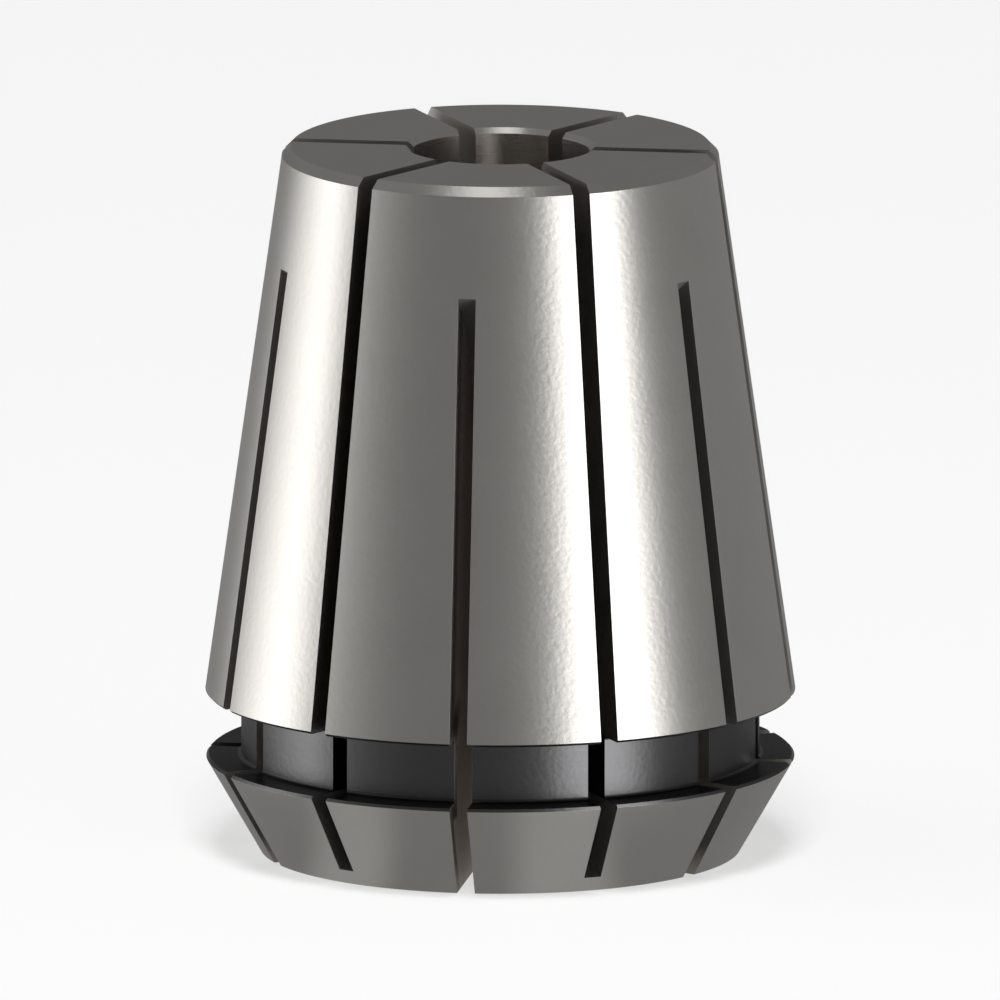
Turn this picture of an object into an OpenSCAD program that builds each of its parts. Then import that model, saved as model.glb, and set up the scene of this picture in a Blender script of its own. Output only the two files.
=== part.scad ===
// Spring collet of the 33 mm size with a 10 mm bore, standing on its nose face.
// Z runs along the axis from the nose face, and the middle of a leaf faces -Y.

/* [Body] */

// Widest diameter, at the foot of the long taper
body_d = 33; // [30:0.5:36]

// Length from the nose face to the back face
body_l = 40; // [36:1:48]

// Angle between the long taper and the axis, in degrees
taper_angle = 8; // [6:0.5:9]

// Width of the bevel round the back face
back_bevel = 0.5; // [0.2:0.1:1.5]

/* [Nose] */

// Height of the nose, from its face to the groove
nose_l = 5.4; // [4:0.1:7]

// Angle between the nose cone and the axis, in degrees
nose_angle = 30; // [25:1:35]

// How far the rim of the nose lies inside the foot of the taper
rim_inset = 0.05; // [0:0.05:0.5]

/* [Groove] */

// Width of the groove between the nose and the taper
groove_w = 3.55; // [3:0.05:5]

// Depth of the groove below the foot of the taper
groove_depth = 2; // [1.5:0.1:3]

// Radius in the two inner corners of the groove
groove_corner_r = 0.2; // [0.1:0.05:0.6]

// Width of the bevels on the two rims of the groove
groove_bevel = 0.15; // [0.05:0.05:0.4]

/* [Bore] */

// Diameter of the bore that grips the shank
bore_d = 10; // [7:0.5:14]

// Width of the bevels at both mouths of the bore
bore_bevel = 0.3; // [0.1:0.1:0.8]

/* [Slots] */

// Width of every slot
slot_w = 1; // [0.6:0.05:1.5]

// Number of slots cut in from each end
slots_per_end = 6; // [3:1:8]

// Web left at the back face above the nose slots, along the taper's surface
back_web = 6.15; // [4:0.05:9]

// Web left at the nose face below the back slots, along the nose cone's surface
nose_web = 0.85; // [0.6:0.05:2]

// Radius of the arc that each slot ends in
arc_r = 40; // [36:1:48]

// Distance from the axis to the arc's centre, in the nose slots
nose_arc_x = 38; // [32:0.5:40]

// Distance from the axis to the arc's centre, in the back slots
back_arc_x = 26.5; // [20:0.5:32]

/* [Hidden] */

round_fn = 120;
over = 1;
half_pitch = 180 / slots_per_end;

body_r = body_d / 2;
bore_r = bore_d / 2;
rim_r = body_r - rim_inset;
neck_r = body_r - groove_depth;

// Heights of the groove's two sides and of the foot of the taper
groove_z0 = nose_l;
groove_z1 = nose_l + groove_w;
foot_z = groove_z1 + groove_bevel;

// The nose cone runs from its face to the bevel on the groove's rim
nose_rim_z = nose_l - groove_bevel;
nose_r = rim_r - nose_rim_z * tan(nose_angle);

// Radius of the long taper where the back bevel starts
back_r = body_r - (body_l - back_bevel - foot_z) * tan(taper_angle);

// Where the slots run out at the surface
nose_slot_z = body_l - back_web;
nose_slot_r = body_r - (nose_slot_z - foot_z) * tan(taper_angle);
back_slot_z = nose_web;
back_slot_r = nose_r + nose_web * tan(nose_angle);

// Heights of the arcs' centres, so that each arc meets the surface there
nose_arc_z = nose_slot_z - sqrt(pow(arc_r, 2) - pow(nose_arc_x - nose_slot_r, 2));
back_arc_z = back_slot_z + sqrt(pow(arc_r, 2) - pow(back_arc_x - back_slot_r, 2));

// Radius and height of each corner of the turned section, before the groove is cut
section = [
    [bore_r, bore_bevel],
    [bore_r + bore_bevel, 0],
    [nose_r, 0],
    [rim_r, nose_rim_z],
    [rim_r - groove_bevel, groove_z0],
    [body_r - groove_bevel, groove_z1],
    [body_r, foot_z],
    [back_r, body_l - back_bevel],
    [back_r - back_bevel, body_l],
    [bore_r + bore_bevel, body_l],
    [bore_r, body_l - bore_bevel],
];

// Half section of the groove, with round inner corners
module groove_section() {
    corner = groove_corner_r;
    translate([neck_r + corner, groove_z0])
    square([body_r, groove_w]);
    translate([neck_r, groove_z0 + corner])
    square([body_r, groove_w - 2 * corner]);
    for (z = [groove_z0 + corner, groove_z1 - corner])
        translate([neck_r + corner, z])
        circle(r = corner, $fn = round_fn);
}

module turned_body() {
    rotate_extrude($fn = round_fn)
    difference() {
        polygon(section);
        groove_section();
    }
}

// One slot along +X, from its arc out through the end at z_end, which lies below or above the arc
module slot(arc_x, arc_z, z_end) {
    low = min(arc_z, z_end);
    high = max(arc_z, z_end);
    intersection() {
        union() {
            translate([arc_x, 0, arc_z])
            rotate([90, 0, 0])
            cylinder(r = arc_r, h = slot_w, center = true, $fn = round_fn);
            translate([arc_x - arc_r, -slot_w / 2, low])
            cube([2 * arc_r, slot_w, high - low]);
        }
        translate([0, -slot_w, -body_l])
        cube([2 * (arc_x + arc_r), 2 * slot_w, 3 * body_l]);
    }
}

module nose_slots() {
    for (i = [0 : slots_per_end - 1])
        rotate([0, 0, -90 + (2 * i - 0.5) * half_pitch])
        slot(nose_arc_x, nose_arc_z, -over);
}

module back_slots() {
    for (i = [0 : slots_per_end - 1])
        rotate([0, 0, -90 + (2 * i + 0.5) * half_pitch])
        slot(back_arc_x, back_arc_z, body_l + over);
}

module collet() {
    color([0.62, 0.62, 0.61])
    difference() {
        turned_body();
        nose_slots();
        back_slots();
    }
}

collet();
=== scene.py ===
import math

import bmesh
import bpy
import numpy as np
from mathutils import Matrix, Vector


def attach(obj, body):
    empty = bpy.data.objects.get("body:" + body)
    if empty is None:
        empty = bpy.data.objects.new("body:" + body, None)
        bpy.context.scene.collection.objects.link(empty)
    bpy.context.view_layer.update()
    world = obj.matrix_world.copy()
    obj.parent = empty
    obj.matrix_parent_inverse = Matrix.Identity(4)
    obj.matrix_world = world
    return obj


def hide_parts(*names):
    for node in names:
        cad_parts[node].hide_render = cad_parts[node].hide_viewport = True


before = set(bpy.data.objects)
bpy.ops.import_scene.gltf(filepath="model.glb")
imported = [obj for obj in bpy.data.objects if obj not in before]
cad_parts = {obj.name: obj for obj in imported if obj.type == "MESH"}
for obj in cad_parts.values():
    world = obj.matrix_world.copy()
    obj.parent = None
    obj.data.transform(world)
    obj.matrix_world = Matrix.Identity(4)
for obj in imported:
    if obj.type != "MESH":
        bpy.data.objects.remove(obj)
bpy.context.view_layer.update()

mm = 0.001


# the turned and slotted body, in millimetres from the axis
collet = {
    "bodyRadius": 16.5,  # at the foot of the long taper
    "length": 40.0,
    "taperAngle": 8.0,
    "backBevel": 0.5,
    "noseHeight": 5.4,
    "noseAngle": 30.0,
    "rimInset": 0.05,
    "rimBevel": 0.15,
    "grooveWidth": 3.55,
    "grooveDepth": 2.0,
    "grooveCorner": 0.2,
    "boreRadius": 5.0,
    "boreBevel": 0.3,
    "slotWidth": 1.0,
    "slotsPerEnd": 6,
    "firstNoseSlot": -105.0,  # degrees round from +X
    "backWeb": 6.15,
    "noseWeb": 0.85,
    "arcRadius": 40.0,
    "noseArcX": 38.0,
    "backArcX": 26.5,
    "edgeRound": 0.006,
    "noseRunOut": 13.0,  # first guesses at where the slots run out
    "backRunOut": 14.0,
    "runOutRounds": 12,
    "mergeWithin": 0.0005,
    "edgeSegments": 2,
    "sharpFrom": 28.0,  # degrees between two faces from which their edge is broken
    "slotCells": 3,  # across half a slot
    "leafCells": 24,  # round the part of a leaf between two slots
    "arcCells": 26,  # along the end of a slot
    "cells": {  # along the section
        "boreFoot": 6, "noseFace": 10, "noseWeb": 2, "nose": 9,
        "grooveSide": 4, "grooveCorner": 7, "neck": 5,
        "taper": 30, "backWeb": 8, "backFace": 8, "boreTop": 14, "bore": 24,
    },
}

finishOrder = [
    "ground", "rimBevel", "blackened", "grooveSide", "grooveCorner",
    "bored", "sawn", "slotEnd", "backWallPaintedShade",
]


def line(a, b, cells, finish):
    # points a + (b - a) t for t in equal steps from 0, the last point left to the next piece
    t = np.arange(cells)[:, None] / cells
    points = np.array(a, float) + (np.array(b, float) - np.array(a, float)) * t
    return points, np.full(cells, finishOrder.index(finish))


def corner(centre, radius, startDegrees, endDegrees, cells, finish):
    # points centre + radius (cos a, sin a) for angle a in equal steps
    a = np.radians(startDegrees + (endDegrees - startDegrees) * np.arange(cells) / cells)
    points = np.array(centre, float) + radius * np.column_stack([np.cos(a), np.sin(a)])
    return points, np.full(cells, finishOrder.index(finish))


def noseSlotTop(x, c):
    # height of the arc that ends a nose slot, at distance x from the axis:
    # centre height + sqrt(R^2 - (x - X)^2)
    surfaceZ = c["length"] - c["backWeb"]
    surfaceX = c["bodyRadius"] - (surfaceZ - c["footZ"]) * math.tan(math.radians(c["taperAngle"]))
    centreZ = surfaceZ - math.sqrt(c["arcRadius"] ** 2 - (c["noseArcX"] - surfaceX) ** 2)
    return centreZ + np.sqrt(c["arcRadius"] ** 2 - (x - c["noseArcX"]) ** 2)


def backSlotFoot(x, c):
    # height of the arc that ends a back slot, at distance x from the axis:
    # centre height - sqrt(R^2 - (x - X)^2)
    surfaceX = c["noseFaceRadius"] + c["noseWeb"] * math.tan(math.radians(c["noseAngle"]))
    centreZ = c["noseWeb"] + math.sqrt(c["arcRadius"] ** 2 - (c["backArcX"] - surfaceX) ** 2)
    return centreZ - np.sqrt(c["arcRadius"] ** 2 - (x - c["backArcX"]) ** 2)


def taperRadius(z, c):
    return c["bodyRadius"] - (z - c["footZ"]) * math.tan(math.radians(c["taperAngle"]))


def noseRadius(z, c):
    return c["noseFaceRadius"] + z * math.tan(math.radians(c["noseAngle"]))


def runOut(offsets, surfaceRadius, arcHeight, c, firstGuess):
    # where the arc meets the turned surface, at each distance y from the slot's middle:
    # x^2 + y^2 = radius(height(x))^2, solved by going round until x stays
    x = np.full(len(offsets), firstGuess)
    for _ in range(c["runOutRounds"]):
        x = np.sqrt(surfaceRadius(arcHeight(x, c), c) ** 2 - offsets ** 2)
    return x


def makeColletMesh(c):
    c = dict(c)
    c["footZ"] = c["noseHeight"] + c["grooveWidth"] + c["rimBevel"]
    rimR = c["bodyRadius"] - c["rimInset"]
    rimZ = c["noseHeight"] - c["rimBevel"]
    c["noseFaceRadius"] = rimR - rimZ * math.tan(math.radians(c["noseAngle"]))
    neckR = c["bodyRadius"] - c["grooveDepth"]
    z0, z1 = c["noseHeight"], c["noseHeight"] + c["grooveWidth"]
    bore, bevel, top = c["boreRadius"], c["boreBevel"], c["length"]
    grooveCorner = c["grooveCorner"]
    half = c["slotWidth"] / 2
    backR = taperRadius(top - c["backBevel"], c)

    slotOffsets = half * np.arange(c["slotCells"] + 1) / c["slotCells"]
    boreX = np.sqrt(bore ** 2 - slotOffsets ** 2)
    noseOutX = runOut(slotOffsets, taperRadius, noseSlotTop, c, c["noseRunOut"])
    backOutX = runOut(slotOffsets, noseRadius, backSlotFoot, c, c["backRunOut"])
    noseOutZ, noseBoreZ = noseSlotTop(noseOutX, c), noseSlotTop(boreX, c)
    backOutZ, backBoreZ = backSlotFoot(backOutX, c), backSlotFoot(boreX, c)

    # one closed section, from the back slots' end in the bore, down, out, up and back down the
    # bore, in four parts that start where a slot's end meets the surface
    cells, cornerX = c["cells"], neckR + grooveCorner
    noseEdge, rim = (c["noseFaceRadius"], 0), (rimR, rimZ)
    backOut = (noseRadius(backOutZ[-1], c), backOutZ[-1])
    noseOut = (taperRadius(noseOutZ[-1], c), noseOutZ[-1])
    lowerRim, upperRim = (rimR - c["rimBevel"], z0), (c["bodyRadius"] - c["rimBevel"], z1)
    foot = (c["bodyRadius"], c["footZ"])
    backRim, backEdge = (backR, top - c["backBevel"]), (backR - c["backBevel"], top)
    lowerCorner, upperCorner = (cornerX, z0 + grooveCorner), (cornerX, z1 - grooveCorner)
    noseWeb = [
        line((bore, backBoreZ[-1]), (bore, bevel), cells["boreFoot"], "bored"),
        line((bore, bevel), (bore + bevel, 0), 1, "ground"),
        line((bore + bevel, 0), noseEdge, cells["noseFace"], "ground"),
        line(noseEdge, backOut, cells["noseWeb"], "ground"),
    ]
    outside = [
        line(backOut, rim, cells["nose"], "ground"),
        line(rim, lowerRim, 1, "rimBevel"),
        line(lowerRim, (cornerX, z0), cells["grooveSide"], "grooveSide"),
        corner(lowerCorner, grooveCorner, -90, -180, cells["grooveCorner"], "grooveCorner"),
        line((neckR, z0 + grooveCorner), (neckR, z1 - grooveCorner), cells["neck"], "blackened"),
        corner(upperCorner, grooveCorner, 180, 90, cells["grooveCorner"], "grooveCorner"),
        line((cornerX, z1), upperRim, cells["grooveSide"], "grooveSide"),
        line(upperRim, foot, 1, "blackened"),
        line(foot, noseOut, cells["taper"], "ground"),
    ]
    backWeb = [
        line(noseOut, backRim, cells["backWeb"], "ground"),
        line(backRim, backEdge, 1, "ground"),
        line(backEdge, (bore + bevel, top), cells["backFace"], "ground"),
        line((bore + bevel, top), (bore, top - bevel), 1, "ground"),
        line((bore, top - bevel), (bore, noseBoreZ[-1]), cells["boreTop"], "bored"),
    ]
    wholeBore = [line((bore, noseBoreZ[-1]), (bore, backBoreZ[-1]), cells["bore"], "bored")]
    pieces = noseWeb + outside + backWeb + wholeBore
    section = np.concatenate([p for p, _ in pieces])
    finish = np.concatenate([f for _, f in pieces])
    rows, backBoreRow = len(section), 0
    partRows = [sum(len(p) for p, _ in part) for part in (noseWeb, outside, backWeb)]
    backOutRow, noseOutRow, noseBoreRow = np.cumsum(partRows)

    # angle from the middle of a nose slot: y = r sin a across each half slot,
    # equal steps over the leaf
    r = section[:, :1]
    halfPitch = math.radians(180 / c["slotsPerEnd"])
    inSlot = np.arcsin(slotOffsets[None, :] / r)
    share = np.arange(1, c["leafCells"])[None, :] / c["leafCells"]
    leaf = inSlot[:, -1:] + (halfPitch - 2 * inSlot[:, -1:]) * share
    angle = np.hstack([inSlot, leaf, halfPitch - inSlot[:, ::-1]])
    columns = angle.shape[1]
    across = c["slotCells"]

    radius = np.repeat(r, columns, axis=1)
    height = np.repeat(section[:, 1:], columns, axis=1)
    noseSide, backSide = slice(0, across + 1), slice(columns - across - 1, columns)
    height[noseOutRow, noseSide] = noseOutZ
    height[noseBoreRow, noseSide] = noseBoreZ
    height[backOutRow, backSide] = backOutZ[::-1]
    height[backBoreRow, backSide] = backBoreZ[::-1]
    radius[noseOutRow] = taperRadius(height[noseOutRow], c)
    radius[backOutRow] = noseRadius(height[backOutRow], c)
    angle[noseOutRow, noseSide] = np.arctan2(slotOffsets, noseOutX)
    angle[backOutRow, backSide] = halfPitch - np.arctan2(slotOffsets, backOutX)[::-1]

    grid = np.stack([radius * np.cos(angle), radius * np.sin(angle), height], axis=-1)
    index = np.arange(rows * columns).reshape(rows, columns)

    # the ends of the slots: x runs from the outer surface to the bore, and the height follows
    # the arc
    def slotEnd(outX, arcHeight, outRow, boreRow, columnOrder, turned, firstIndex):
        t = np.arange(1, c["arcCells"])[:, None] / c["arcCells"]
        x = along = outX[None, :] + (boreX - outX)[None, :] * t
        y = np.repeat(slotOffsets[None, :], len(t), axis=0)
        if turned:
            cosP, sinP = math.cos(halfPitch), math.sin(halfPitch)
            x, y = x * cosP + y * sinP, x * sinP - y * cosP
        points = np.stack([x, y, arcHeight(along, c)], axis=-1)
        inner = firstIndex + np.arange(len(t) * (across + 1)).reshape(len(t), across + 1)
        outer, bored = index[outRow, columnOrder], index[boreRow, columnOrder]
        whole = np.vstack([outer[None, :], inner, bored[None, :]])
        return points.reshape(-1, 3), whole

    noseColumns = np.arange(across + 1)
    backColumns = columns - 1 - noseColumns
    count = rows * columns
    nosePoints, noseEnd = slotEnd(
        noseOutX, noseSlotTop, noseOutRow, noseBoreRow, noseColumns, False, count)
    count += len(nosePoints)
    backPoints, backEnd = slotEnd(
        backOutX, backSlotFoot, backOutRow, backBoreRow, backColumns, True, count)
    points = np.concatenate([grid.reshape(-1, 3), nosePoints, backPoints])

    def quads(block):
        around = [block[:-1, :-1], block[:-1, 1:], block[1:, 1:], block[1:, :-1]]
        return np.stack(around, axis=-1)

    # the turned surfaces, without the cells that the slots take away
    turned = quads(np.vstack([index, index[:1]]))
    rowNumber = np.arange(rows)[:, None] + np.zeros((1, columns - 1), int)
    columnNumber = np.arange(columns - 1)[None, :] + np.zeros((rows, 1), int)
    besideNoseEnd = (rowNumber >= noseOutRow) & (rowNumber < noseBoreRow)
    noseOpen = (columnNumber < across) & ~besideNoseEnd
    backOpen = (columnNumber >= columns - 1 - across) & (rowNumber >= backOutRow)
    kept = ~(noseOpen | backOpen)
    turned = turned[kept]
    turnedFinish = finish[rowNumber[kept]]
    ends = [quads(noseEnd).reshape(-1, 4), quads(backEnd).reshape(-1, 4)[:, ::-1]]
    ends = np.concatenate(ends)
    quadList = np.concatenate([turned, ends])
    endFinish = np.full(len(ends), finishOrder.index("slotEnd"))
    quadFinish = np.concatenate([turnedFinish, endFinish])

    # the flat walls of the slots, each one outline: the section's rows there, then the arc
    noseLoop = np.concatenate([
        index[noseBoreRow:, across], index[:noseOutRow + 1, across], noseEnd[1:-1, across]])
    backColumn = columns - 1 - across
    backLoop = np.concatenate([
        index[backOutRow:, backColumn], index[:1, backColumn], backEnd[-2:0:-1, across]])

    allPoints, allQuads, allLoops = [], [], []
    for slotNumber in range(c["slotsPerEnd"]):
        for side in (1, -1):
            turn = math.radians(c["firstNoseSlot"]) + 2 * halfPitch * slotNumber
            x, y = points[:, 0], side * points[:, 1]
            cosT, sinT = math.cos(turn), math.sin(turn)
            copy = np.column_stack([x * cosT - y * sinT, x * sinT + y * cosT, points[:, 2]])
            shift = len(points) * len(allPoints)
            allPoints.append(copy)
            allQuads.append((quadList if side == 1 else quadList[:, ::-1]) + shift)
            for loop in (noseLoop, backLoop):
                allLoops.append((loop if side == 1 else loop[::-1]) + shift)
    copies = len(allPoints)
    faces = np.concatenate(allQuads).tolist() + [loop.tolist() for loop in allLoops]
    wallFinish = [finishOrder.index("sawn"), finishOrder.index("backWallPaintedShade")]
    faceFinish = np.concatenate([np.tile(quadFinish, copies), np.tile(wallFinish, copies)])
    return np.concatenate(allPoints) * mm, faces, faceFinish.astype(np.int32)


def makeCollet(c):
    points, faces, faceFinish = makeColletMesh(c)
    mesh = bpy.data.meshes.new("colletBody")
    mesh.from_pydata(points.tolist(), [], faces)
    mesh.polygons.foreach_set("material_index", faceFinish)
    mesh.polygons.foreach_set("use_smooth", np.ones(len(faces), bool))
    merged = bmesh.new()
    merged.from_mesh(mesh)
    bmesh.ops.remove_doubles(merged, verts=merged.verts, dist=c["mergeWithin"] * mm)
    bmesh.ops.recalc_face_normals(merged, faces=merged.faces)
    openEdges = sum(1 for edge in merged.edges if len(edge.link_faces) != 2)
    print("collet mesh:", len(merged.verts), "points,", len(merged.faces), "faces,",
          openEdges, "open edges, volume", round(merged.calc_volume() / mm ** 3, 1), "mm3")
    merged.to_mesh(mesh)
    merged.free()
    body = bpy.data.objects.new("colletBody", mesh)
    bpy.context.scene.collection.objects.link(body)
    edges = body.modifiers.new("brokenEdges", "BEVEL")
    edges.width = c["edgeRound"] * mm
    edges.segments = c["edgeSegments"]
    edges.limit_method = "ANGLE"
    edges.angle_limit = math.radians(c["sharpFrom"])
    edges.use_clamp_overlap = False
    edges.harden_normals = True
    return body


def feed(tree, socket, value):
    if isinstance(value, bpy.types.NodeSocket):
        tree.links.new(value, socket)
    else:
        socket.default_value = value


def calc(tree, operation, *values):
    node = tree.nodes.new("ShaderNodeMath")
    node.operation = operation
    for socket, value in zip(node.inputs, values):
        feed(tree, socket, value)
    return node.outputs[0]


def ramp(tree, value, start, end, low=0.0, high=1.0):
    node = tree.nodes.new("ShaderNodeMapRange")
    node.interpolation_type = "SMOOTHSTEP"
    for socket, given in zip(node.inputs[:5], (value, start, end, low, high)):
        feed(tree, socket, given)
    return node.outputs[0]


def newGroup(name, inputs, outputs):
    group = bpy.data.node_groups.new(name, "ShaderNodeTree")
    for label, kind, default in inputs:
        socket = group.interface.new_socket(label, in_out="INPUT", socket_type=kind)
        if default is not None:
            socket.default_value = default
    for label, kind in outputs:
        group.interface.new_socket(label, in_out="OUTPUT", socket_type=kind)
    given = group.nodes.new("NodeGroupInput").outputs
    return group, given, group.nodes.new("NodeGroupOutput").inputs


def place(tree, group, **values):
    node = tree.nodes.new("ShaderNodeGroup")
    node.node_tree = group
    for label, value in values.items():
        feed(tree, node.inputs[label], value)
    return node.outputs


def noise(tree, vector, scale, detail=2.0, roughness=0.5):
    node = tree.nodes.new("ShaderNodeTexNoise")
    feed(tree, node.inputs["Vector"], vector)
    feed(tree, node.inputs["Scale"], scale)
    node.inputs["Detail"].default_value = detail
    node.inputs["Roughness"].default_value = roughness
    return node.outputs["Fac"]


def fromAxis(tree, x, y):
    # sqrt(x^2 + y^2)
    squares = [calc(tree, "POWER", value, 2.0) for value in (x, y)]
    return calc(tree, "SQRT", calc(tree, "ADD", *squares))


def makeGrainGroup():
    # fine crystalline grain: a fast noise for the tooth of the surface and a slow one for its
    # cloudiness
    group, given, result = newGroup("steelGrain", [
        ("Position", "NodeSocketVector", None),
        ("Grain per metre", "NodeSocketFloat", 4000.0),
        ("Cloud per metre", "NodeSocketFloat", 260.0),
        ("Cloud depth", "NodeSocketFloat", 0.05),
    ], [("Height", "NodeSocketFloat"), ("Shade", "NodeSocketFloat")])
    grain = noise(group, given["Position"], given["Grain per metre"], 1.0, 0.5)
    cloud = noise(group, given["Position"], given["Cloud per metre"], 2.0, 0.5)
    feed(group, result["Height"], grain)
    middle, speckShare = 0.5, 0.5
    centred = calc(group, "SUBTRACT", cloud, middle)
    speck = calc(group, "MULTIPLY", calc(group, "SUBTRACT", grain, middle), speckShare)
    depth = calc(group, "MULTIPLY", calc(group, "ADD", centred, speck), given["Cloud depth"])
    feed(group, result["Shade"], calc(group, "ADD", depth, 1.0))
    return group


def makeRingGroup():
    # marks left by turning and grinding: noise that is fast along the radius and the axis, slow
    # round the axis
    group, given, result = newGroup("turningRings", [
        ("Position", "NodeSocketVector", None),
        ("Rings per metre", "NodeSocketFloat", 9000.0),
    ], [("Height", "NodeSocketFloat")])
    parts = group.nodes.new("ShaderNodeSeparateXYZ")
    feed(group, parts.inputs[0], given["Position"])
    x, y, z = parts.outputs
    rings, slowTurn = given["Rings per metre"], 1.5
    joined = group.nodes.new("ShaderNodeCombineXYZ")
    feed(group, joined.inputs[0], calc(group, "MULTIPLY", fromAxis(group, x, y), rings))
    feed(group, joined.inputs[1], calc(group, "MULTIPLY", z, rings))
    feed(group, joined.inputs[2], calc(group, "MULTIPLY", calc(group, "ARCTAN2", x, y), slowTurn))
    feed(group, result["Height"], noise(group, joined.outputs[0], 1.0, 2.0, 0.5))
    return group


finishes = {
    "ground": {
        "colour": (0.640, 0.622, 0.590), "roughness": 0.30, "cloud": 0.07,
        "grain": 3200, "grainDepth": 0.0072, "rings": 7000, "ringDepth": 0.0001,
    },
    "rimBevel": {
        "colour": (0.108, 0.106, 0.108), "roughness": 0.33, "cloud": 0.10,
        "grain": 3200, "grainDepth": 0.0090, "rings": 6000, "ringDepth": 0.0002,
        "outward": True,
    },
    "blackened": {
        "colour": (0.121, 0.119, 0.122), "roughness": 0.33, "cloud": 0.10,
        "grain": 3200, "grainDepth": 0.0090, "rings": 6000, "ringDepth": 0.0002,
    },
    # darker than the neck beside it: painted shade in the groove's inner corners
    "grooveCorner": {
        "colour": (0.062, 0.061, 0.062), "roughness": 0.38, "cloud": 0.10,
        "grain": 4200, "grainDepth": 0.0020, "rings": 6000, "ringDepth": 0.0010,
    },
    "grooveSide": {
        "colour": (0.125, 0.123, 0.125), "roughness": 0.36, "cloud": 0.15,
        "grain": 4200, "grainDepth": 0.0020, "rings": 6000, "ringDepth": 0.0010,
        "edgeTint": 0.60,
    },
    "bored": {
        "colour": (0.735, 0.69, 0.65), "roughness": 0.28, "cloud": 0.15,
        "grain": 3200, "grainDepth": 0.0020, "rings": 6000, "ringDepth": 0.0002,
    },
    "sawn": {
        # a pale colour, which shows as painted light deep in the slots
        "colour": (0.95, 0.90, 0.85), "roughness": 0.65, "cloud": 0.15,
        "grain": 3000, "grainDepth": 0.0030, "rings": 5000, "ringDepth": 0.0010,
        # share of the colour left at the mouth of a slot, which is painted shade, less of it on
        # the left side
        "foot": 0.72, "nose": 0.29,
        "neck": 0.21, "leftNeck": 0.70, "farNeck": 0.32,
        "cone": 0.18, "leftCone": 0.37,
        # heights between which one share gives way to the next
        "footHeights": (0.3, 2.0), "neckHeights": (4.9, 5.9), "coneHeights": (8.6, 9.4),
        # distances to the right of the YZ plane between which they change
        "leftSides": (-13.0, 3.0), "farSides": (-12.5, -8.0),
        # depths between which the mouth ends, and the heights between which it grows deeper
        "mouthFrom": 0.8, "neckReach": 1.2, "reach": 2.5, "reachHeights": (8.5, 10.0),
    },
    "slotEnd": {
        "colour": (0.42, 0.405, 0.385), "roughness": 0.50, "cloud": 0.20,
        "grain": 3000, "grainDepth": 0.0030, "rings": 5000, "ringDepth": 0.0010,
    },
    "backWallPaintedShade": {
        "colour": (0.57, 0.545, 0.515), "roughness": 0.38, "cloud": 0.20,
        "grain": 3000, "grainDepth": 0.0030, "rings": 5000, "ringDepth": 0.0010,
        # share of the colour left at the groove's height, and painted shade near the surface
        # below and above it
        "grooveShare": 0.08, "nose": 1.1, "farNose": 0.13, "cone": 0.7,
        "farSides": (-13.5, -10.5), "grooveHeights": (5.4, 9.0), "topHeights": (36.5, 39.0),
        "depths": (2.0, 4.0),
    },
}


def makeDepthGroup(c):
    # millimetres from the nearest of taper, nose cone and groove, whether the height is the
    # groove's, the height, and the distance to the right of the YZ plane
    group, given, result = newGroup("depthInSlot", [("Position", "NodeSocketVector", None)], [
        ("Depth", "NodeSocketFloat"),
        ("In groove", "NodeSocketFloat"),
        ("Height", "NodeSocketFloat"),
        ("Across", "NodeSocketFloat"),
    ])
    parts = group.nodes.new("ShaderNodeSeparateXYZ")
    feed(group, parts.inputs[0], given["Position"])
    x, y, z = [calc(group, "DIVIDE", part, mm) for part in parts.outputs]
    radius = fromAxis(group, x, y)
    grooveFoot, grooveTop = c["noseHeight"], c["noseHeight"] + c["grooveWidth"]
    neckRadius, rampWidth = c["bodyRadius"] - c["grooveDepth"], 0.05
    lean, noseLean = [math.tan(math.radians(c[part])) for part in ("taperAngle", "noseAngle")]
    taperAtZero = c["bodyRadius"] + grooveTop * lean
    noseAtZero = c["bodyRadius"] - grooveFoot * noseLean
    taper = calc(group, "SUBTRACT", taperAtZero, calc(group, "MULTIPLY", z, lean))
    nose = calc(group, "ADD", noseAtZero, calc(group, "MULTIPLY", z, noseLean))
    above, below = calc(group, "SUBTRACT", z, grooveTop), calc(group, "SUBTRACT", grooveFoot, z)
    outside = calc(group, "MAXIMUM", above, below)
    toGroove = calc(group, "MAXIMUM", outside, calc(group, "SUBTRACT", neckRadius, radius))
    toCone = calc(group, "SUBTRACT", calc(group, "MINIMUM", taper, nose), radius)
    feed(group, result["Depth"], calc(group, "MINIMUM", toCone, toGroove))
    feed(group, result["In groove"], ramp(group, outside, 0.0, rampWidth, 1.0, 0.0))
    feed(group, result["Height"], z)
    feed(group, result["Across"], x)
    return group


def makeOutwardGroup():
    # the direction straight out from the axis: the position without its height, at length 1
    group, given, result = newGroup("outwardNormal", [
        ("Position", "NodeSocketVector", None),
    ], [("Normal", "NodeSocketVector")])
    flat = group.nodes.new("ShaderNodeVectorMath")
    flat.operation = "MULTIPLY"
    feed(group, flat.inputs[0], given["Position"])
    flat.inputs[1].default_value = (1.0, 1.0, 0.0)
    unit = group.nodes.new("ShaderNodeVectorMath")
    unit.operation = "NORMALIZE"
    feed(group, unit.inputs[0], flat.outputs[0])
    feed(group, result["Normal"], unit.outputs[0])
    return group


def grooveHeightAndPaintedShade(tree, f, inside):
    # darker at the groove's height, and near the surface painted shade: darker on the cone and
    # far to the left, a little lighter on the nose
    up, depth = inside["Height"], inside["Depth"]
    grooveShare = ramp(tree, inside["In groove"], 0.0, 1.0, 1.0, f["grooveShare"])
    nose = ramp(tree, inside["Across"], *f["farSides"], f["farNose"], f["nose"])
    outer = ramp(tree, up, *f["grooveHeights"], nose, f["cone"])
    outer = ramp(tree, up, *f["topHeights"], outer, 1.0)
    return calc(tree, "MULTIPLY", grooveShare, ramp(tree, depth, *f["depths"], outer, 1.0))


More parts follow.
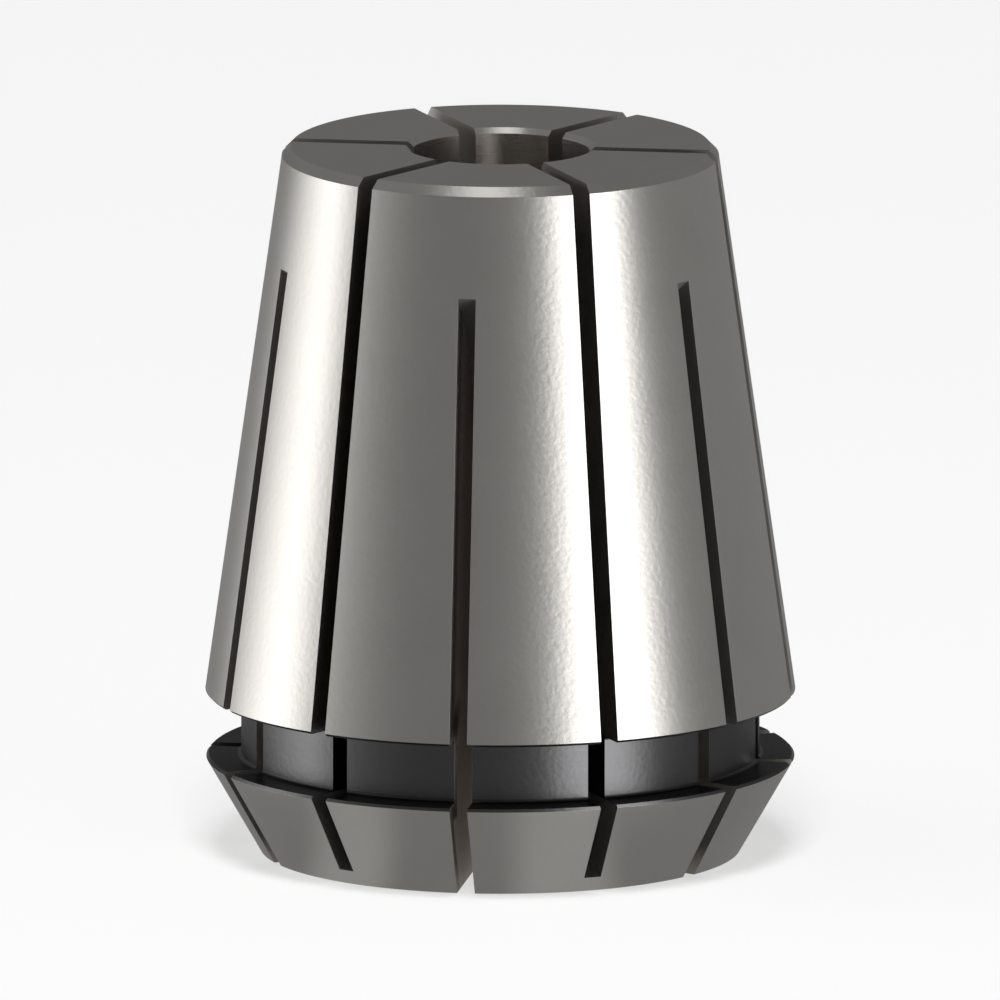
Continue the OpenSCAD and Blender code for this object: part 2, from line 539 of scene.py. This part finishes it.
def paintedMouthShade(tree, f, inside):
    # painted shade: darker at the mouth of a slot, by its height and, on neck and cone, from left
    # to right; the pale colour deeper in is painted light
    up, across = inside["Height"], inside["Across"]
    cone = ramp(tree, across, *f["leftSides"], f["leftCone"], f["cone"])
    neck = ramp(tree, across, *f["leftSides"], f["leftNeck"], f["neck"])
    neck = ramp(tree, across, *f["farSides"], f["farNeck"], neck)
    mouth = ramp(tree, up, *f["footHeights"], f["foot"], f["nose"])
    mouth = ramp(tree, up, *f["neckHeights"], mouth, neck)
    mouth = ramp(tree, up, *f["coneHeights"], mouth, cone)
    reach = ramp(tree, up, *f["reachHeights"], f["neckReach"], f["reach"])
    return ramp(tree, inside["Depth"], f["mouthFrom"], reach, mouth, 1.0)


def makeFinish(name, f, groups):
    material = bpy.data.materials.new(name + "Steel")
    material.use_nodes = True
    tree = material.node_tree
    shader = tree.nodes["Principled BSDF"]
    shader.inputs["Metallic"].default_value = 1.0
    position = tree.nodes.new("ShaderNodeTexCoord").outputs["Object"]
    grain = place(tree, groups["grain"], **{
        "Position": position, "Grain per metre": f["grain"], "Cloud depth": f["cloud"]})
    rings = place(tree, groups["rings"], **{"Position": position, "Rings per metre": f["rings"]})
    tint = tree.nodes.new("ShaderNodeVectorMath")
    tint.operation = "SCALE"
    tint.inputs[0].default_value = f["colour"]
    shade = grain["Shade"]
    for part, makeShade in (("grooveShare", grooveHeightAndPaintedShade), ("reach", paintedMouthShade)):
        if part in f:
            inside = place(tree, groups["depth"], Position=position)
            shade = calc(tree, "MULTIPLY", shade, makeShade(tree, f, inside))
    if "edgeTint" in f:
        shader.inputs["Specular Tint"].default_value = (f["edgeTint"],) * 3 + (1.0,)
    feed(tree, tint.inputs["Scale"], shade)
    feed(tree, shader.inputs["Base Color"], tint.outputs[0])
    ringRoughness = 0.06  # how much rougher a ring's ridge is than its furrow
    uneven = calc(tree, "MULTIPLY", calc(tree, "SUBTRACT", rings["Height"], 0.5), ringRoughness)
    feed(tree, shader.inputs["Roughness"], calc(tree, "ADD", f["roughness"], uneven))
    grainHeight = calc(tree, "MULTIPLY", grain["Height"], f["grainDepth"])
    ringHeight = calc(tree, "MULTIPLY", rings["Height"], f["ringDepth"])
    bump = tree.nodes.new("ShaderNodeBump")
    bump.inputs["Strength"].default_value = 1.0
    bump.inputs["Distance"].default_value = mm
    feed(tree, bump.inputs["Height"], calc(tree, "ADD", grainHeight, ringHeight))
    if "outward" in f:  # a rim worn round, which faces straight out from the axis
        outward = place(tree, groups["outward"], Position=position)
        feed(tree, bump.inputs["Normal"], outward["Normal"])
    feed(tree, shader.inputs["Normal"], bump.outputs[0])
    return material


# two pale floors, a soft world with bands of light round the object, and a glowing reflection
# card
studio = {
    "cameraAzimuth": -6.75,  # degrees round from -Y toward +X
    "cameraElevation": 11.34,
    "cameraDistance": 3.5,
    "aimHeight": 0.020,
    "frameWidth": 0.05594,  # the photograph shows no perspective, so neither does the camera
    "shiftX": -0.00037,
    "shiftY": -0.00368,
    "clipStart": 0.1,
    "clipEnd": 40.0,
    "ambient": 0.17,
    # degrees round from the camera, and how wide each band's edges are
    "rightBand": {
        "start": 27.2, "end": 64.7, "startEdge": 6.4, "endEdge": 12.0,
        "level": 2.6, "top": 12.0,
    },
    "leftBand": {
        "start": -116.0, "end": -87.6, "startEdge": 66.0, "endEdge": 24.0,
        "level": 1.9, "top": 22.0,
    },
    "leftSkirt": {
        "start": -100.0, "end": -60.0, "startEdge": 20.0, "endEdge": 36.0,
        "level": 0.20, "top": 55.0,
    },
    "front": {
        "start": -150.0, "end": 150.0, "startEdge": 40.0, "endEdge": 40.0,
        "level": 0.009, "top": 65.0,
    },
    "leftSide": {
        "start": -155.0, "end": -95.0, "startEdge": 20.0, "endEdge": 20.0,
        "level": 0.018, "top": 65.0,
    },
    "rightSide": {
        "start": 85.0, "end": 160.0, "startEdge": 20.0, "endEdge": 20.0,
        "level": 0.012, "top": 65.0,
    },
    "topEdge": 12.0,  # degrees in which a band fades out at its top
    "overhead": {"azimuth": -22.0, "elevation": 78.0, "spread": 10.5, "edge": 6.0, "level": 1.35},
    "overheadFrom": (20.0, 40.0),  # elevations between which the overhead patch comes in
    "sideFrom": (75.0, 115.0),  # degrees round between which the front turns into the sides
    # for the floor, kept out of the steel's reflections
    "lamp": {"elevation": 68.0, "distance": 1.2, "size": 0.35, "power": 6.0},
    "cardAmbient": 0.055,  # what the card adds to the ambient level
    "cardBands": 1.4,  # how much stronger the bands are on the card near the collet
    "cardFarBands": 1.1,
    "cardBandsFade": (0.07, 0.30),  # distances from the axis between which that changes
    "cardBandsFrom": (0.018, 0.040),  # where the bands take the place of the two low ones
    "cardRight": {"start": 4.0, "end": 28.0, "startEdge": 12.0, "endEdge": 12.0, "level": 0.14},
    "cardLeft": {"start": -52.0, "end": -29.0, "startEdge": 16.0, "endEdge": 12.0, "level": 0.14},
    "cardSideShade": 0.30,  # share of light left on the card at the sides and back
    "cardShadeFrom": (0.022, 0.030),  # where that shade begins and ends
    "cardShadeTo": (0.034, 0.050),
    "cardUnder": 0.85,  # share of light left on the card under the collet
    "cardUnderTo": (0.0128, 0.0136),
    "cardSteps": 96,
    "cardRings": (0.0001, 0.0135, 0.018, 0.025, 0.035, 0.05, 0.08, 0.15, 0.3, 0.8, 2.0, 5.9),
    "cardHeight": 0.00002,
    "sideStep": 0.0098,  # how far off the axis the card is met, which turns the bands on it
    "floorColour": 0.62,
    "floorRoughness": 0.9,
    "floorGlow": 0.56,
    "lowerFloorGlow": 1.0,
    "floorReach": 6.0,
    "lowerFloor": -0.03,
}


def directionTo(azimuth, elevation):
    # the direction so far round from -Y toward +X, and so far up, both in radians
    level = math.cos(elevation)
    return Vector((math.sin(azimuth) * level, -math.cos(azimuth) * level, math.sin(elevation)))


def makeLevelGroup(s):
    # brightness of the studio in a direction: the ambient level with a patch overhead, the bands
    # set by the angle round the object, the card's two low bands, and whether it is a side
    group, given, result = newGroup("studioLevel", [("Direction", "NodeSocketVector", None)], [
        ("Ambient", "NodeSocketFloat"),
        ("Bands", "NodeSocketFloat"),
        ("Low bands", "NodeSocketFloat"),
        ("Side", "NodeSocketFloat"),
    ])
    parts = group.nodes.new("ShaderNodeSeparateXYZ")
    feed(group, parts.inputs[0], given["Direction"])
    x, y, z = parts.outputs
    azimuth = calc(group, "DEGREES", calc(group, "ARCTAN2", x, calc(group, "MULTIPLY", y, -1.0)))
    azimuth = calc(group, "SUBTRACT", azimuth, s["cameraAzimuth"])
    flat = fromAxis(group, x, y)
    elevation = calc(group, "DEGREES", calc(group, "ARCTAN2", z, flat))
    turning = calc(group, "ADD", calc(group, "DIVIDE", s["sideStep"], flat), 1.0)
    turned = calc(group, "MULTIPLY", azimuth, turning)

    def edge(value, middle, width, before, after):
        return ramp(group, value, middle - width / 2, middle + width / 2, before, after)

    def band(azimuth, b):
        rise = edge(azimuth, b["start"], b["startEdge"], 0.0, 1.0)
        fall = edge(azimuth, b["end"], b["endEdge"], 1.0, 0.0)
        light = calc(group, "MULTIPLY", calc(group, "MULTIPLY", rise, fall), b["level"])
        if "top" in b:
            top = edge(elevation, b["top"], s["topEdge"], 1.0, 0.0)
            light = calc(group, "MULTIPLY", light, top)
        return light

    bands = band(turned, s["rightBand"])
    for part in ("leftBand", "leftSkirt", "front", "leftSide", "rightSide"):
        bands = calc(group, "ADD", bands, band(turned, s[part]))

    def patch(o):
        a, e = math.radians(o["azimuth"] + s["cameraAzimuth"]), math.radians(o["elevation"])
        toward = group.nodes.new("ShaderNodeVectorMath")
        toward.operation = "DOT_PRODUCT"
        feed(group, toward.inputs[0], given["Direction"])
        toward.inputs[1].default_value = directionTo(a, e)
        away = calc(group, "DEGREES", calc(group, "ARCCOSINE", toward.outputs["Value"]))
        return edge(away, o["spread"], o["edge"], o["level"], 0.0)

    shown = ramp(group, elevation, *s["overheadFrom"])
    patches = calc(group, "MULTIPLY", patch(s["overhead"]), shown)
    lowBands = calc(group, "ADD", band(azimuth, s["cardRight"]), band(azimuth, s["cardLeft"]))
    feed(group, result["Ambient"], calc(group, "ADD", patches, s["ambient"]))
    feed(group, result["Bands"], bands)
    feed(group, result["Side"], ramp(group, calc(group, "ABSOLUTE", azimuth), *s["sideFrom"]))
    feed(group, result["Low bands"], lowBands)
    return group


def flatMesh(name, points, faces):
    mesh = bpy.data.meshes.new(name)
    mesh.from_pydata(points, [], faces)
    item = bpy.data.objects.new(name, mesh)
    bpy.context.scene.collection.objects.link(item)
    return item


def makeFloor(name, s, floorHeight, glow):
    reach = s["floorReach"]
    corners = [(-reach, -reach), (reach, -reach), (reach, reach), (-reach, reach)]
    floor = flatMesh(name, [(x, y, floorHeight) for x, y in corners], [(0, 1, 2, 3)])
    material = bpy.data.materials.new(name + "Pale")
    material.use_nodes = True
    tree = material.node_tree
    shader = tree.nodes["Principled BSDF"]
    shader.inputs["Base Color"].default_value = (s["floorColour"],) * 3 + (1.0,)
    shader.inputs["Roughness"].default_value = s["floorRoughness"]
    shader.inputs["Specular IOR Level"].default_value = 0.0
    shader.inputs["Emission Color"].default_value = (1.0, 1.0, 1.0, 1.0)
    # it glows where it is seen, and lights nothing
    path = tree.nodes.new("ShaderNodeLightPath").outputs
    seen = calc(tree, "MAXIMUM", path["Is Glossy Ray"], path["Is Transmission Ray"])
    seen = calc(tree, "MAXIMUM", path["Is Camera Ray"], seen)
    feed(tree, shader.inputs["Emission Strength"], calc(tree, "MULTIPLY", seen, glow))
    floor.data.materials.append(material)


def makeStudio(s):
    scene = bpy.context.scene
    levels = makeLevelGroup(s)

    world = bpy.data.worlds.new("studioWorld")
    world.use_nodes = True
    tree = world.node_tree
    around = tree.nodes.new("ShaderNodeTexCoord").outputs["Generated"]
    level = place(tree, levels, Direction=around)
    tree.nodes["Background"].inputs["Color"].default_value = (1.0, 1.0, 1.0, 1.0)
    total = calc(tree, "ADD", level["Ambient"], level["Bands"])
    feed(tree, tree.nodes["Background"].inputs["Strength"], total)
    scene.world = world

    # the second floor lies under the first, where a camera near the horizon looks in below it
    makeFloor("floor", s, 0.0, s["floorGlow"])
    makeFloor("lowerFloor", s, s["lowerFloor"], s["lowerFloorGlow"])

    # a ring of card on the floor that glows, though it is no lamp: it carries the bands on below
    # the horizon, shows only in reflections, and holds painted shade beside and under the collet;
    # its points are (r cos a, r sin a, height)
    steps, radii = s["cardSteps"], np.array(s["cardRings"])
    turn = np.arange(steps) * 2 * math.pi / steps
    heights = np.full((len(radii), steps), s["cardHeight"])
    ring = [radii[:, None] * np.cos(turn), radii[:, None] * np.sin(turn), heights]
    ring = np.stack(ring, axis=-1)
    index = np.arange(len(radii) * steps).reshape(len(radii), steps)
    after = np.roll(index, -1, axis=1)
    faces = np.stack([index[:-1], index[1:], after[1:], after[:-1]], axis=-1).reshape(-1, 4)
    card = flatMesh("reflectionCard", ring.reshape(-1, 3).tolist(), faces.tolist())
    card.visible_camera = card.visible_diffuse = False
    card.visible_shadow = card.visible_transmission = False
    material = bpy.data.materials.new("glowingCard")
    material.use_nodes = True
    tree = material.node_tree
    tree.nodes.remove(tree.nodes["Principled BSDF"])
    position = tree.nodes.new("ShaderNodeTexCoord").outputs["Object"]
    level = place(tree, levels, Direction=position)
    length = tree.nodes.new("ShaderNodeVectorMath")
    length.operation = "LENGTH"
    feed(tree, length.inputs[0], position)
    away = length.outputs["Value"]
    share = ramp(tree, away, *s["cardBandsFrom"])
    lowShare = calc(tree, "SUBTRACT", 1.0, share)
    stronger = ramp(tree, away, *s["cardBandsFade"], s["cardBands"], s["cardFarBands"])
    bands = calc(tree, "MULTIPLY", calc(tree, "MULTIPLY", level["Bands"], stronger), share)
    total = calc(tree, "ADD", bands, calc(tree, "MULTIPLY", level["Low bands"], lowShare))
    total = calc(tree, "ADD", total, calc(tree, "ADD", level["Ambient"], s["cardAmbient"]))
    begins = ramp(tree, away, *s["cardShadeFrom"])
    nearRing = calc(tree, "MULTIPLY", begins, ramp(tree, away, *s["cardShadeTo"], 1.0, 0.0))
    atSide = calc(tree, "MULTIPLY", nearRing, level["Side"])
    shade = calc(tree, "MULTIPLY", atSide, 1.0 - s["cardSideShade"])
    total = calc(tree, "MULTIPLY", total, calc(tree, "SUBTRACT", 1.0, shade))
    under = ramp(tree, away, *s["cardUnderTo"], s["cardUnder"], 1.0)
    total = calc(tree, "MULTIPLY", total, under)
    glow = tree.nodes.new("ShaderNodeEmission")
    feed(tree, glow.inputs["Strength"], total)
    feed(tree, tree.nodes["Material Output"].inputs["Surface"], glow.outputs[0])
    card.data.materials.append(material)

    a, e = math.radians(s["cameraAzimuth"]), math.radians(s["lamp"]["elevation"])
    lampData = bpy.data.lights.new("softLamp", "AREA")
    lampData.energy = s["lamp"]["power"]
    lampData.size = s["lamp"]["size"]
    lamp = bpy.data.objects.new("softLamp", lampData)
    scene.collection.objects.link(lamp)
    up = directionTo(a, e)
    lamp.location = up * s["lamp"]["distance"]
    lamp.rotation_mode = "QUATERNION"
    lamp.rotation_quaternion = (-up).to_track_quat("-Z", "Y")
    lamp.visible_camera = lamp.visible_glossy = False

    data = bpy.data.cameras.new("studioCamera")
    camera = bpy.data.objects.new("studioCamera", data)
    scene.collection.objects.link(camera)
    a, e = math.radians(s["cameraAzimuth"]), math.radians(s["cameraElevation"])
    back = directionTo(a, e)
    camera.location = Vector((0, 0, s["aimHeight"])) + back * s["cameraDistance"]
    camera.rotation_mode = "QUATERNION"
    camera.rotation_quaternion = (-back).to_track_quat("-Z", "Y")
    data.type = "ORTHO"
    data.ortho_scale = s["frameWidth"]
    data.shift_x, data.shift_y = s["shiftX"], s["shiftY"]
    data.clip_start, data.clip_end = s["clipStart"], s["clipEnd"]
    scene.camera = camera
    scene.view_settings.view_transform = "Standard"


makeStudio(studio)
print("studio and camera set")

body = makeCollet(collet)
groups = {
    "grain": makeGrainGroup(),
    "rings": makeRingGroup(),
    "depth": makeDepthGroup(collet),
    "outward": makeOutwardGroup(),
}
for name in finishOrder:
    body.data.materials.append(makeFinish(name, finishes[name], groups))
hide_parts("collet")
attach(body, "root")
print("collet made and finished")
